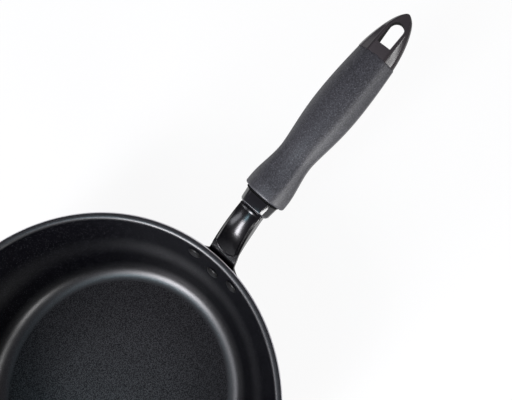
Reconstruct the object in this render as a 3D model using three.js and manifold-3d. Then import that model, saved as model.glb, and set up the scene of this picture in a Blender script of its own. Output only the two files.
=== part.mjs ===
// Deep frying pan: a pressed pan with a turned-out lip, a riveted bracket and a handle with a soft grip.
// Millimetres, +Z up. The origin is the centre of the base on the hob and the handle points along +X.
import * as THREE from "three";
import { mergeVertices } from "three/addons/utils/BufferGeometryUtils.js";
import Module from "manifold-3d";

const wasm = await Module();
wasm.setup();

// Pan
const RIM_RADIUS = 133; // outer edge of the lip
const LIP_FLAT = 2.2; // level top of the lip, where a lid rests
const LIP_BEND = 3; // inside bend from wall to lip
const PAN_DEPTH = 75; // top of the lip down to the cooking floor
const FLOOR_RADIUS = 90; // flat part of the cooking floor
const CORNER_RADIUS = 13; // inside corner between floor and wall
const SHEET = 2.4; // pressed aluminium
const WALL_CURL = 4.5; // degrees that the wall turns from its chord at each end
const PLATE_THICKNESS = 1; // steel disc under the floor
const PLATE_PROUD = 0.4; // how far the disc stands out below the floor
const PLATE_MARGIN = 8; // flat underside left outside the disc

// Rivets
const RIVET_SPREAD = 37; // between the upper two
const RIVET_DROP = 10.5; // upper two, below the top of the lip
const RIVET_STEP = 8.8; // lower one, below the upper two
const RIVET_SHANK = 2.4; // radius
const RIVET_HEAD = 5.2; // radius, inside the pan
const RIVET_HEAD_HEIGHT = 1.7;
const RIVET_TAIL = 4; // radius, on the bracket
const RIVET_TAIL_HEIGHT = 1.8;

// Bracket
const BRACKET_SHEET = 2; // pressed steel
const FLANGE_MARGIN = 7; // metal round the middle of each rivet
const STRAP_WIDTH = 24.4; // where the bracket passes the lip
const STRAP_ANGLE = 64; // degrees from level, past the lip
const LIP_CLEARANCE = 0.8; // between the strap and the lip
const ARM_WIDTH = 17.4; // where the arm meets the flame guard
const TANG_CORNER = 2.5; // rounding of the tang's upper edges
const ARM_SHOULDER = 0.6; // arm above and below the tang
const TANG_LENGTH = 20; // inside the handle, from the front of the grip
const TANG_LEG = 3.5; // side walls of the tang, below the handle's axis

// Handle, with sizes along its axis taken from the front of the grip
const HANDLE_REACH = 48.5; // front of the grip beyond the lip's edge
const HANDLE_RISE = 40.2; // axis at the front of the grip above the lip
const HANDLE_TILT = 19.4; // degrees
const GUARD_LENGTH = 11; // front of the flame guard before the grip
const GUARD_REAR_WIDTH = 23.4;
const GUARD_FRONT_WIDTH = 21.6;
const GUARD_HEIGHT = 15;
const GUARD_BEVEL = 2.2; // round its front edge
const GRIP_LENGTH = 112.2;
const GRIP_WALL = 3; // soft layer over the core
const GRIP_EDGE = 1.4; // rounding of the grip's front edge
const CORE_RIM = 1.3; // rim of the core in front of the grip
const CORE_RIM_STEP = 2; // that rim below the surface of the grip
const FRONT_FLAT = 4; // full width kept behind the front edge
const WAIST_AT = 34;
const BELLY_AT = 75;
const FRONT = { half: 15.4, top: 11.5, bottom: 12.5 };
const WAIST = { half: 12.2, top: 9.6, bottom: 10.6 };
const BELLY = { half: 15.55, top: 11, bottom: 12.4 };
const REAR = { half: 13.1, top: 9.2, bottom: 10 };
const TIP_LENGTH = 30.1; // bare rear end of the core
const TIP_INSET = 0.3; // rear end below the surface of the grip
const TIP_FLAT = 12.8; // level top of the rear end
const TIP_END = { top: 6.6, bottom: -2.4, mid: 4.5 }; // heights at the very end, which lifts above the axis
const HOLE_WIDTH = 9.6; // hanging hole
const HOLE_LENGTH = 16.2;
const HOLE_END_WALL = 7; // behind the round end of the hole

// Screw, up through the underside of the handle into a nut in the tang
const SCREW_AT = 12; // behind the front of the grip
const NUT_WIDTH = 9.4;
const NUT_HEIGHT = 7;
const NUT_LENGTH = 10;
const SCREW_RADIUS = 2;
const SCREW_HEAD = 3.7; // radius
const SCREW_HEAD_HEIGHT = 2.6;
const SEAT_WALL = 3.2; // core between the screw's seat and the tang
const WASHER_THICKNESS = 1;

const GAP = 0.3; // between pieces that fit into one another
const ROUND_STEPS = 80; // sides of the pan
const SMALL_STEPS = 20; // sides of rivets and screw

const rad = THREE.MathUtils.degToRad;
const v2 = (x, y) => new THREE.Vector2(x, y);

function solid(geometry) {
  const bare = new THREE.BufferGeometry();
  bare.setAttribute("position", geometry.getAttribute("position"));
  bare.setIndex(geometry.getIndex());
  const merged = mergeVertices(bare, 1e-4);
  const vertProperties = Float32Array.from(merged.getAttribute("position").array);
  const triVerts = Uint32Array.from(merged.getIndex().array);
  return new wasm.Manifold(new wasm.Mesh({ numProp: 3, vertProperties, triVerts }));
}

function surface(body) {
  const mesh = body.getMesh();
  const geometry = new THREE.BufferGeometry();
  geometry.setAttribute("position", new THREE.BufferAttribute(mesh.vertProperties, 3));
  geometry.setIndex(new THREE.BufferAttribute(mesh.triVerts, 1));
  geometry.computeVertexNormals();
  return geometry;
}

// A body turned about Z, from a profile of radius and height that runs from the bottom up its outside.
function turned(profile, steps) {
  return new THREE.LatheGeometry(profile, steps).rotateX(Math.PI / 2);
}

// An upright bar at the screw's place, between two heights.
function bar(radius, low, high) {
  const profile = [v2(0, low), v2(radius, low), v2(radius, high), v2(0, high)];
  return turned(profile, SMALL_STEPS).translate(SCREW_AT, 0, 0);
}

// A body skinned over convex outlines, each across the path with its width along Y.
function skinned(stations) {
  const count = stations[0].outline.length;
  const points = [];
  for (const { x, z, angle, outline } of stations) {
    for (const p of outline) points.push(x - p.y * Math.sin(angle), p.x, z + p.y * Math.cos(angle));
  }
  const index = [];
  for (let i = 0; i + 1 < stations.length; i++) {
    for (let j = 0; j < count; j++) {
      const a = i * count + j;
      const b = i * count + ((j + 1) % count);
      index.push(a, b, a + count, b, b + count, a + count);
    }
  }
  const last = (stations.length - 1) * count;
  for (let j = 1; j + 1 < count; j++) {
    index.push(0, j + 1, j, last, last + j, last + j + 1);
  }
  const geometry = new THREE.BufferGeometry();
  geometry.setAttribute("position", new THREE.Float32BufferAttribute(points, 3));
  geometry.setIndex(index);
  geometry.computeVertexNormals();
  return geometry;
}

// Pan profile: floor, corner, curled wall and turned-out lip, at a distance outside the cooking surface.
const floorTop = PLATE_PROUD + SHEET;
const rimTop = floorTop + PAN_DEPTH;
const plateRadius = FLOOR_RADIUS - PLATE_MARGIN;
const cornerCentre = v2(FLOOR_RADIUS, floorTop + CORNER_RADIUS);
const bendCentre = v2(RIM_RADIUS - LIP_FLAT, rimTop - LIP_BEND);
const curl = rad(WALL_CURL);
const around = (centre, radius, angle) =>
  v2(centre.x + radius * Math.cos(angle), centre.y + radius * Math.sin(angle));

function leanOfWall() {
  let lean = 0;
  for (let i = 0; i < 30; i++) {
    const low = around(cornerCentre, CORNER_RADIUS, -lean - curl);
    const high = around(bendCentre, LIP_BEND, Math.PI - lean + curl);
    lean = Math.atan2(high.x - low.x, high.y - low.y);
  }
  return lean;
}

const lean = leanOfWall();
const wallFoot = around(cornerCentre, CORNER_RADIUS, -lean - curl);
const wallHead = around(bendCentre, LIP_BEND, Math.PI - lean + curl);
const wallBow = (wallFoot.distanceTo(wallHead) / 2) * Math.tan(curl);
const wallMiddle = around(wallFoot.clone().lerp(wallHead, 0.5), wallBow, -lean);
const wall = new THREE.QuadraticBezierCurve(wallFoot, wallMiddle, wallHead);

function wallPoint(t, out) {
  const along = wall.getTangent(t);
  const point = wall.getPoint(t);
  return v2(point.x + out * along.y, point.y - out * along.x);
}

function panSurface(out) {
  const profile = [v2(0, floorTop - out)];
  for (let i = 0; i <= 5; i++) {
    const turn = (i / 5) * (Math.PI / 2 - lean - curl) - Math.PI / 2;
    profile.push(around(cornerCentre, CORNER_RADIUS + out, turn));
  }
  for (let i = 1; i < 4; i++) profile.push(wallPoint(i / 4, out));
  for (let i = 0; i <= 3; i++) {
    const turn = Math.PI - lean + curl - (i / 3) * (Math.PI / 2 - lean + curl);
    profile.push(around(bendCentre, LIP_BEND - out, turn));
  }
  profile.push(v2(RIM_RADIUS, rimTop - out));
  return profile;
}

// Share of the wall's length at which the cooking surface has a height.
function wallShare(height) {
  let low = 0;
  let high = 1;
  for (let i = 0; i < 40; i++) {
    const middle = (low + high) / 2;
    if (wall.getPoint(middle).y < height) low = middle;
    else high = middle;
  }
  return low;
}

// Rivets stand square to the wall, with the head inside the pan and the tail on the bracket.
const rivetTop = rimTop - RIVET_DROP;
const rivetPlaces = [
  { name: "rivet_left", y: RIVET_SPREAD / 2, z: rivetTop },
  { name: "rivet_right", y: -RIVET_SPREAD / 2, z: rivetTop },
  { name: "rivet_lower", y: 0, z: rivetTop - RIVET_STEP },
];
const rivetGrip = SHEET + GAP + BRACKET_SHEET;

function rivetMatrix({ y, z }) {
  const share = wallShare(z);
  const along = wall.getTangent(share);
  const radius = wall.getPoint(share).x;
  return new THREE.Matrix4()
    .makeRotationZ(Math.asin(y / radius))
    .multiply(new THREE.Matrix4().makeTranslation(radius, 0, z))
    .multiply(new THREE.Matrix4().makeRotationY(Math.PI / 2 + Math.atan2(along.x, along.y)));
}

function rivetShape() {
  const back = -GAP;
  const front = rivetGrip + GAP;
  return turned(
    [
      v2(0, back - RIVET_HEAD_HEIGHT),
      v2(RIVET_HEAD * 0.45, back - RIVET_HEAD_HEIGHT * 0.92),
      v2(RIVET_HEAD * 0.8, back - RIVET_HEAD_HEIGHT * 0.62),
      v2(RIVET_HEAD, back - RIVET_HEAD_HEIGHT * 0.2),
      v2(RIVET_HEAD, back),
      v2(RIVET_SHANK, back),
      v2(RIVET_SHANK, front),
      v2(RIVET_TAIL, front),
      v2(RIVET_TAIL * 0.9, front + RIVET_TAIL_HEIGHT * 0.6),
      v2(RIVET_TAIL * 0.55, front + RIVET_TAIL_HEIGHT),
      v2(0, front + RIVET_TAIL_HEIGHT),
    ],
    SMALL_STEPS,
  );
}

function rivetHoles() {
  const radius = RIVET_SHANK + GAP;
  const holes = rivetPlaces.map((place) => {
    const drill = new THREE.CylinderGeometry(radius, radius, 4 * rivetGrip, SMALL_STEPS);
    return solid(drill.rotateX(Math.PI / 2).applyMatrix4(rivetMatrix(place)));
  });
  return holes.reduce((all, hole) => all.add(hole));
}

function panBody() {
  const profile = [
    v2(0, PLATE_THICKNESS),
    v2(plateRadius + GAP, PLATE_THICKNESS),
    v2(plateRadius + GAP, PLATE_PROUD),
    ...panSurface(SHEET).slice(1),
    ...panSurface(0).reverse(),
  ];
  return surface(solid(turned(profile, ROUND_STEPS)).subtract(rivetHoles()));
}

function basePlate() {
  const profile = [v2(0, 0), v2(plateRadius, 0), v2(plateRadius, PLATE_THICKNESS), v2(0, PLATE_THICKNESS)];
  return turned(profile, ROUND_STEPS);
}

// Handle frame: X along its axis from the front of the grip.
const tilt = rad(HANDLE_TILT);
const handle = new THREE.Group();
handle.name = "handle";
handle.position.set(RIM_RADIUS + HANDLE_REACH, 0, rimTop + HANDLE_RISE);
handle.rotation.y = -tilt;
handle.updateMatrixWorld();
const onHandle = (x, z) => handle.localToWorld(new THREE.Vector3(x, 0, z));

// Arch outline: level top at zero, rounded upper edges and straight legs.
function arch(half, depth, corner) {
  const bend = Math.min(corner, 0.8 * depth, 0.8 * half);
  const right = [];
  for (let i = 0; i <= 4; i++) right.push(around(v2(half - bend, -bend), bend, (i / 4) * (Math.PI / 2)));
  const left = right.map((p) => v2(-p.x, p.y)).reverse();
  return [v2(half, -depth), ...right, ...left, v2(-half, -depth)];
}

// Crown outline: level with zero at its top and vertical at its lower edges, squarer with a higher power.
function crown({ half, depth, power }) {
  const outline = [];
  for (let i = 0; i < 12; i++) {
    const c = Math.cos((i / 11) * Math.PI);
    const s = Math.sin((i / 11) * Math.PI);
    const y = Math.sign(c) * Math.abs(c) ** (2 / power) * half;
    outline.push(v2(y, (s ** (2 / power) - 1) * depth));
  }
  return outline;
}

// Bracket: a flange on the wall, a strap past the lip, and an arm that deepens into a channel and a tang.
const tangHalf = NUT_WIDTH / 2 + GAP + BRACKET_SHEET;
const tangTop = NUT_HEIGHT / 2 + GAP + BRACKET_SHEET;
const tangDepth = tangTop + TANG_LEG;
const armTop = tangTop + ARM_SHOULDER;
const armDepth = tangDepth + 2 * ARM_SHOULDER;
const shoulderAt = -GUARD_LENGTH - GAP;
const screwSeat = -TANG_LEG - GAP - SEAT_WALL;
const washerLow = screwSeat - GAP - WASHER_THICKNESS;

function strapStations() {
  const stations = [];
  for (const drop of [RIVET_DROP + 3, RIVET_DROP - 2.5]) {
    const share = wallShare(rimTop - drop);
    const along = wall.getTangent(share);
    const point = wallPoint(share, SHEET + GAP);
    stations.push({ x: point.x, z: point.y, angle: Math.atan2(along.y, along.x), rise: 0 });
  }
  const start = v2(RIM_RADIUS + LIP_CLEARANCE, rimTop - SHEET - LIP_CLEARANCE);
  const meet = onHandle(shoulderAt, armTop);
  const end = v2(meet.x, meet.z);
  const reach = 0.45 * start.distanceTo(end);
  const first = around(start, reach, rad(STRAP_ANGLE));
  const second = around(end, reach, Math.PI + tilt);
  const curve = new THREE.CubicBezierCurve(start, first, second, end);
  for (let i = 0; i <= 10; i++) {
    const point = curve.getPoint(i / 10);
    const along = curve.getTangent(i / 10);
    stations.push({ x: point.x, z: point.y, angle: Math.atan2(along.y, along.x), rise: i / 10 });
  }
  return stations;
}

function tangStation(x, outline) {
  const place = onHandle(x, tangTop);
  return { x: place.x, z: place.z, angle: tilt, outline };
}

function armSize(rise) {
  const deep = THREE.MathUtils.smoothstep(rise, 0.05, 0.8);
  return {
    half: THREE.MathUtils.lerp(ARM_WIDTH, STRAP_WIDTH, (1 - rise) ** 1.5) / 2,
    depth: THREE.MathUtils.lerp(BRACKET_SHEET, armDepth, deep),
    power: THREE.MathUtils.lerp(8, 2.4, THREE.MathUtils.smoothstep(rise, 0, 0.4)),
  };
}

function bracketArm() {
  const strap = strapStations();
  const outside = strap.map((s) => ({ ...s, outline: crown(armSize(s.rise)) }));
  const tang = arch(tangHalf, tangDepth, TANG_CORNER);
  outside.push(tangStation(shoulderAt, tang), tangStation(TANG_LENGTH, tang));

  const hollow = strap.filter((s) => s.rise > 0.35 && s.rise < 0.95).map((s) => {
    const size = armSize(s.rise);
    const outline = crown({ ...size, half: size.half - BRACKET_SHEET });
    return { ...s, outline: outline.map((p) => v2(p.x, p.y - BRACKET_SHEET)) };
  });
  const bore = arch(tangHalf - BRACKET_SHEET, tangDepth, GAP).map((p) => v2(p.x, p.y - BRACKET_SHEET));
  hollow.push(tangStation(shoulderAt - BRACKET_SHEET, bore), tangStation(TANG_LENGTH + 1, bore));
  return solid(skinned(outside)).subtract(solid(skinned(hollow)));
}

// Flange: a shell that follows the wall, cut to the outline round the three rivets.
function bracketFlange() {
  const inner = [];
  const outer = [];
  for (const share of [0.25, 0.5, 0.75, 1]) {
    inner.push(wallPoint(share, SHEET + GAP));
    outer.push(wallPoint(share, SHEET + GAP + BRACKET_SHEET));
  }
  const ring = [...outer, ...inner.reverse(), outer[0]];
  const shell = solid(turned(ring, ROUND_STEPS));

  const [left, right, lower] = rivetPlaces;
  const slope = Math.atan2(left.y, left.z - lower.z);
  const shape = new THREE.Shape();
  shape.absarc(right.y, right.z, FLANGE_MARGIN, Math.PI / 2, Math.PI + slope);
  shape.absarc(lower.y, lower.z, FLANGE_MARGIN, Math.PI + slope, 2 * Math.PI - slope);
  shape.absarc(left.y, left.z, FLANGE_MARGIN, 2 * Math.PI - slope, 2.5 * Math.PI);
  const depth = 2 * (RIM_RADIUS - FLOOR_RADIUS);
  const cutter = new THREE.ExtrudeGeometry(shape, { depth, curveSegments: 8, bevelEnabled: false });
  const across = new THREE.Matrix4().makeBasis(
    new THREE.Vector3(0, 1, 0),
    new THREE.Vector3(0, 0, 1),
    new THREE.Vector3(1, 0, 0),
  );
  cutter.applyMatrix4(across).translate(FLOOR_RADIUS, 0, 0);
  return shell.intersect(solid(cutter));
}

function bracket() {
  return surface(bracketFlange().add(bracketArm()).subtract(rivetHoles()));
}

// Grip sizes at a distance from its front.
function gripSize(x) {
  const mix = (from, to, share) => ({
    half: THREE.MathUtils.lerp(from.half, to.half, share),
    top: THREE.MathUtils.lerp(from.top, to.top, share),
    bottom: THREE.MathUtils.lerp(from.bottom, to.bottom, share),
  });
  if (x < FRONT_FLAT) return FRONT;
  if (x < WAIST_AT) {
    const share = (x - FRONT_FLAT) / (WAIST_AT - FRONT_FLAT);
    return mix(FRONT, WAIST, (1 - Math.cos(Math.PI * share)) / 2);
  }
  if (x < BELLY_AT) {
    const share = (x - WAIST_AT) / (BELLY_AT - WAIST_AT);
    return mix(WAIST, BELLY, (1 - Math.cos(Math.PI * share ** 0.75)) / 2);
  }
  const share = (x - BELLY_AT) / (GRIP_LENGTH - BELLY_AT);
  return mix(BELLY, REAR, 1 - Math.cos((Math.PI / 2) * share));
}

// Oval outline with fuller corners than an ellipse.
function oval({ half, top, bottom }, power) {
  const outline = [];
  for (let i = 0; i < 32; i++) {
    const turn = (i / 32) * 2 * Math.PI;
    const c = Math.cos(turn);
    const s = Math.sin(turn);
    const x = Math.sign(c) * Math.abs(c) ** (2 / power) * half;
    const y = Math.sign(s) * Math.abs(s) ** (2 / power) * (s > 0 ? top : bottom);
    outline.push(v2(x, y));
  }
  return outline;
}

// Outline with a level top, shoulders that slope to its widest height, and a round underside.
function shouldered({ half, top, bottom, mid, flat }) {
  const right = [v2(flat, top), v2(flat, top).lerp(v2(half, mid), 0.5), v2(half, mid)];
  right[1].x += 0.1 * (half - flat);
  const under = [];
  for (let i = 1; i < 12; i++) {
    const c = Math.cos((i / 12) * Math.PI);
    const s = Math.sin((i / 12) * Math.PI);
    under.push(v2(-Math.sign(c) * Math.abs(c) ** 0.8 * half, mid - s ** 0.8 * (mid + bottom)));
  }
  return [...right.map((p) => v2(-p.x, p.y)), ...under, ...right.reverse()];
}

const grown = ({ half, top, bottom }, by) => ({ half: half + by, top: top + by, bottom: bottom + by });

function coreOutline(x, grow) {
  const size = grown(gripSize(x), grow - GRIP_WALL);
  return shouldered({ ...size, mid: 0, flat: size.half / 2 });
}

const station = (x, outline) => ({ x, z: 0, angle: 0, outline });
const span = (from, to, shares) => shares.map((share) => THREE.MathUtils.lerp(from, to, share));
const gripSteps = [
  0,
  ...span(FRONT_FLAT, WAIST_AT, [0, 0.27, 0.5, 0.73]),
  ...span(WAIST_AT, BELLY_AT, [0, 0.15, 0.3, 0.5, 0.73]),
  ...span(BELLY_AT, GRIP_LENGTH, [0, 0.24, 0.5, 0.77]),
];

function softGrip() {
  const places = [GRIP_EDGE, ...gripSteps.slice(1), GRIP_LENGTH];
  const body = places.map((x) => station(x, oval(gripSize(x), 2.8 - (0.5 * x) / GRIP_LENGTH)));
  body.unshift(station(0, oval(grown(FRONT, -GRIP_EDGE), 2.8)));
  const bore = [-1, ...gripSteps, GRIP_LENGTH + 1].map((x) => station(x, coreOutline(x, GAP)));
  const access = bar(SCREW_HEAD + GAP, -2 * FRONT.bottom, screwSeat);
  return surface(solid(skinned(body)).subtract(solid(skinned(bore))).subtract(solid(access)));
}

// Bare rear end of the core: level on top, tapering to a blunt tip and swept up underneath.
const tipStart = GRIP_LENGTH + GAP;
const tipEnd = GRIP_LENGTH + TIP_LENGTH;

function tipOutline(share) {
  const start = grown(REAR, -TIP_INSET);
  const half = start.half * (1 - share ** 1.7) ** 0.6;
  return shouldered({
    half,
    top: THREE.MathUtils.lerp(start.top, TIP_END.top, share),
    bottom: THREE.MathUtils.lerp(start.bottom, TIP_END.bottom, 1 - (1 - share) ** 2.5),
    mid: TIP_END.mid * share ** 3,
    flat: Math.min(TIP_FLAT / 2, 0.7 * half),
  });
}

// Socket for the tang, open at the front.
function tangSocket(from, to) {
  const outline = arch(tangHalf + GAP, tangDepth + 2 * GAP, TANG_CORNER + GAP);
  const raised = outline.map((p) => v2(p.x, p.y + tangTop + GAP));
  return solid(skinned([station(from, raised), station(to, raised)]));
}

function handleCore() {
  const rim = coreOutline(0, GRIP_WALL - CORE_RIM_STEP);
  const front = [station(-CORE_RIM, rim), station(-GAP, rim)];
  const inside = [...gripSteps, tipStart].map((x) => station(x, coreOutline(Math.min(x, GRIP_LENGTH), 0)));
  const tip = [0, 0.2, 0.38, 0.54, 0.68, 0.8, 0.89, 0.95, 0.985].map((share) =>
    station(THREE.MathUtils.lerp(tipStart, tipEnd, share), tipOutline(share)),
  );
  const body = solid(skinned([...front, ...inside, ...tip]));

  const holeEnd = tipEnd - HOLE_END_WALL;
  const hole = new THREE.Shape();
  hole.moveTo(holeEnd - HOLE_LENGTH, HOLE_WIDTH / 2);
  hole.lineTo(holeEnd - HOLE_LENGTH, -HOLE_WIDTH / 2);
  hole.absarc(holeEnd - HOLE_WIDTH / 2, 0, HOLE_WIDTH / 2, -Math.PI / 2, Math.PI / 2);
  const depth = 4 * REAR.bottom;
  const slot = new THREE.ExtrudeGeometry(hole, { depth, curveSegments: 12, bevelEnabled: false });
  slot.translate(0, 0, -depth / 2);
  return surface(
    body
      .subtract(solid(slot))
      .subtract(tangSocket(-CORE_RIM - 1, TANG_LENGTH + GAP))
      .subtract(solid(bar(SCREW_RADIUS + GAP, screwSeat - 1, 0)))
      .subtract(solid(bar(SCREW_HEAD + GAP, -2 * FRONT.bottom, screwSeat))),
  );
}

// Flame guard: a tapered ferrule round the tang, from the arm's shoulder to the core, with a bevelled front.
function flameGuard() {
  const outline = (width, height) => {
    const half = width / 2;
    const high = height / 2;
    const right = [v2(half, 0), v2(0.77 * half, 0.78 * high), v2(0.58 * half, high)];
    const left = right.slice(1).map((p) => v2(-p.x, p.y));
    const upper = [...right, ...left.reverse()];
    return [...upper, ...upper.map((p) => v2(-p.x, -p.y))];
  };
  const body = skinned([
    station(-GUARD_LENGTH, outline(GUARD_FRONT_WIDTH - GUARD_BEVEL / 2, GUARD_HEIGHT - GUARD_BEVEL)),
    station(GUARD_BEVEL - GUARD_LENGTH, outline(GUARD_FRONT_WIDTH, GUARD_HEIGHT)),
    station(-CORE_RIM - GAP, outline(GUARD_REAR_WIDTH, GUARD_HEIGHT)),
  ]);
  return surface(solid(body).subtract(tangSocket(-GUARD_LENGTH - 1, 1)));
}

// Nut, screw and washer stand upright at the screw's place.
function tangNut() {
  const block = new THREE.BoxGeometry(NUT_LENGTH, NUT_WIDTH, NUT_HEIGHT).translate(SCREW_AT, 0, 0);
  return surface(solid(block).subtract(solid(bar(SCREW_RADIUS + GAP, -NUT_HEIGHT, NUT_HEIGHT))));
}

function handleScrew() {
  const top = washerLow - GAP;
  const low = top - SCREW_HEAD_HEIGHT;
  const crown = SCREW_HEAD * 0.75;
  const profile = [
    v2(0, low),
    v2(crown, low),
    v2(SCREW_HEAD, low + SCREW_HEAD_HEIGHT * 0.4),
    v2(SCREW_HEAD, top),
    v2(SCREW_RADIUS, top),
    v2(SCREW_RADIUS, NUT_HEIGHT * 0.4),
    v2(0, NUT_HEIGHT * 0.4),
  ];
  const body = solid(turned(profile, SMALL_STEPS).translate(SCREW_AT, 0, 0));
  const long = new THREE.BoxGeometry(1.4 * crown, 1, SCREW_HEAD_HEIGHT).translate(SCREW_AT, 0, low);
  const short = new THREE.BoxGeometry(1, 1.4 * crown, SCREW_HEAD_HEIGHT).translate(SCREW_AT, 0, low);
  return surface(body.subtract(solid(long)).subtract(solid(short)));
}

function springWasher() {
  const ring = solid(bar(SCREW_HEAD, washerLow, washerLow + WASHER_THICKNESS));
  const middle = solid(bar(SCREW_RADIUS + GAP, washerLow - 1, washerLow + WASHER_THICKNESS + 1));
  const split = new THREE.BoxGeometry(SCREW_HEAD, 0.6, 4 * WASHER_THICKNESS);
  split.rotateX(0.4).translate(SCREW_AT + SCREW_HEAD - 0.5, 0, washerLow);
  return surface(ring.subtract(middle).subtract(solid(split)));
}

const finish = (color, roughness, metalness) =>
  new THREE.MeshStandardMaterial({ color, roughness, metalness });
const coating = finish(0x262627, 0.55, 0.1);
const blackEnamel = finish(0x0c0c0d, 0.2, 0.1);
const blackPlastic = finish(0x0d0c0c, 0.25, 0);
const greyRubber = finish(0x313233, 0.75, 0);
const plateSteel = finish(0xa9a9a6, 0.35, 1);
const screwSteel = finish(0xb9b9b6, 0.3, 1);

function piece(name, geometry, material) {
  const mesh = new THREE.Mesh(geometry, material.clone());
  mesh.name = name;
  return mesh;
}

const part = new THREE.Group();
part.name = "deep_frying_pan";
part.add(piece("pan_body", panBody(), coating));
part.add(piece("base_plate", basePlate(), plateSteel));
for (const place of rivetPlaces) {
  const rivet = piece(place.name, rivetShape(), coating);
  rivet.applyMatrix4(rivetMatrix(place));
  part.add(rivet);
}
part.add(piece("handle_bracket", bracket(), blackEnamel));

handle.add(piece("flame_guard", flameGuard(), blackPlastic));
handle.add(piece("handle_core", handleCore(), blackPlastic));
handle.add(piece("soft_grip", softGrip(), greyRubber));
handle.add(piece("tang_nut", tangNut(), screwSteel));
handle.add(piece("handle_screw", handleScrew(), screwSteel));
handle.add(piece("spring_washer", springWasher(), screwSteel));
part.add(handle);

export default part;
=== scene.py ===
import math

import bmesh
import bpy
from mathutils import Matrix, Vector


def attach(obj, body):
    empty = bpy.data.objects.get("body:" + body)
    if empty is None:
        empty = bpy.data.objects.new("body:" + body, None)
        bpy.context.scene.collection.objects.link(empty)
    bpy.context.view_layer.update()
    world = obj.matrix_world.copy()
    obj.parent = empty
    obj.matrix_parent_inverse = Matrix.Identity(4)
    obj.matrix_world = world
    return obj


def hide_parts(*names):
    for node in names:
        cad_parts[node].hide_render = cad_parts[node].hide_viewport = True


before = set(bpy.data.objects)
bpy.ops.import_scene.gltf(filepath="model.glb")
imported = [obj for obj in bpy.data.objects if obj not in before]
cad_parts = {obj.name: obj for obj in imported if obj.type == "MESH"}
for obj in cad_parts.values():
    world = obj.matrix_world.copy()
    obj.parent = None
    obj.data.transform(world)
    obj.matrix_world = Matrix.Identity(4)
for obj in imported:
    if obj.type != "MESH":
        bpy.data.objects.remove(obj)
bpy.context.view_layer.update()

MM = 0.001

# Sizes in millimetres, angles in radians, and shares of other sizes.
GAP, TOUCH, UPRIGHT = 0.3, 0.01, 0.02
RIM_RADIUS, LIP_FLAT, LIP_BEND, LIP_EDGE, LIP_UNDER_EDGE = 133.7, 2.3, 3, 0.5, 0.6
PAN_DEPTH, FLOOR_RADIUS, CORNER_RADIUS, SHEET = 75, 90, 14.5, 2.4
WALL_CURL = math.radians(4.5)
PLATE_THICKNESS, PLATE_PROUD, PLATE_RADIUS, PLATE_EDGE = 1, 0.4, 82, 0.3
DISC_RINGS, RECESS_RING = (0, 30, 60), 40
FLOOR_TOP = PLATE_PROUD + SHEET
RIM_TOP = FLOOR_TOP + PAN_DEPTH

RIVET_DROP, RIVET_STEP, RIVET_SPREAD = 10.5, 8.8, 37
RIVET_SHANK, RIVET_HEAD, RIVET_HEAD_HEIGHT, RIVET_HEAD_RIM = 2.4, 5.2, 1.7, 0.25
RIVET_TAIL, RIVET_TAIL_HEIGHT, RIVET_TAIL_RIM = 4, 1.8, 0.4
RIVET_TOP = RIM_TOP - RIVET_DROP

BRACKET_SHEET, EDGE_ROUND = 2, 0.5
FLANGE_MARGIN, FLANGE_START, FLANGE_RISE, WING_RISE = 7, 0.06, 2.5, 6.6
STRAP_WIDTH, STRAP_ANGLE, LIP_CLEARANCE = 24, math.radians(64), 0.8
ARM_WIDTH, ARM_TOP, ARM_DEPTH = 17.8, 6.4, 10.5
CROWN_SAG, CROWN_CORNER, LEG_SPLAY = 0.24, 0.09, 0.03
CROWN_RISE, CROWN_RAMP, CROWN_FADE = 1.5, 1.2, (148, 168)
NOSE_AT, NOSE_LENGTH, NOSE_WIDTH = 138, 4.8, 0.94
BEAD_DROP, BEAD_END = 0.35, 1.8
COLLAR_HEIGHT, COLLAR_LENGTH = 0.4, (0.9, 2.1)
TANG_HALF, TANG_TOP, TANG_DEPTH, TANG_LENGTH, TANG_CORNER = 7, 5.8, 9.3, 20, 2.8

HANDLE_TILT = math.radians(19.4)
HANDLE_PLACE = Vector((181.5, 0, RIM_TOP + 40.2))
GUARD_LENGTH, GUARD_FRONT, GUARD_REAR, GUARD_HEIGHT = 11, 22.6, 24.4, 15
CHAMFER_LENGTH, CHAMFER_WIDTH, CHAMFER_HEIGHT = 1.4, 2, 3
GUARD_EDGE, EDGE_HIGHLIGHT_LENGTH = 0.3, 3.2

# Sections of the grip and core: half width, and reach above and below the axis.
FRONT = (15.8, 10.7, 12.5)
WAIST = (12.2, 10.3, 10.6)
BELLY = (15.55, 11, 12.4)
REAR = (13.5, 9.2, 10)
CORE_FRONT = (12.8, 8.5, 9.5)
GRIP_LENGTH, GRIP_WALL, FRONT_FLAT, WAIST_AT, BELLY_AT = 112.2, 3, 4, 34, 75
GRIP_EDGE, EDGE_STEP, GRIP_END, GRIP_LAP = 1.5, 0.8, 0.5, 0.1
GRIP_REAR = ((0.55, 0.7), (0.85, GRIP_WALL - GRIP_LAP))
GRIP_FULLNESS, FULLER_REAR = 2.8, 0.2
RIDGE_HALF, RIDGE_DROP, RIDGE_SOFTNESS = 0.44, 0.2, 3.2
FLANK_SLOPE, FLANK_BEND = 0.6, 0.055
THUMB_DEPTH, THUMB_START, THUMB_END, THUMB_SIDE = 0.9, (6, 20), (26, 46), (3.5, 9.5)
CORE_RIM, CORE_RIM_EDGE, CORE_RIM_INSET = 1.3, 0.4, 0.5
CORE_STEPS = (0, 15, 34, 55, 75, 95)
TIP_LENGTH, TIP_INSET, TIP_FLAT, TIP_FLAT_SHARE = 30.1, 0.1, 6.4, 0.7
TIP_TOP, TIP_BOTTOM, TIP_SIDE = 6.6, -2.4, (2.4, 4.5)
TIP_ROUNDING, TIP_LIFT, TIP_STOP = 1.36, 2.5, 0.9985
HOLE_WIDTH, HOLE_LENGTH, HOLE_END_WALL, HOLE_LOW, HOLE_HEIGHT = 9.6, 16.2, 7, -20, 40
HOLE_END = GRIP_LENGTH + TIP_LENGTH - HOLE_END_WALL
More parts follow.
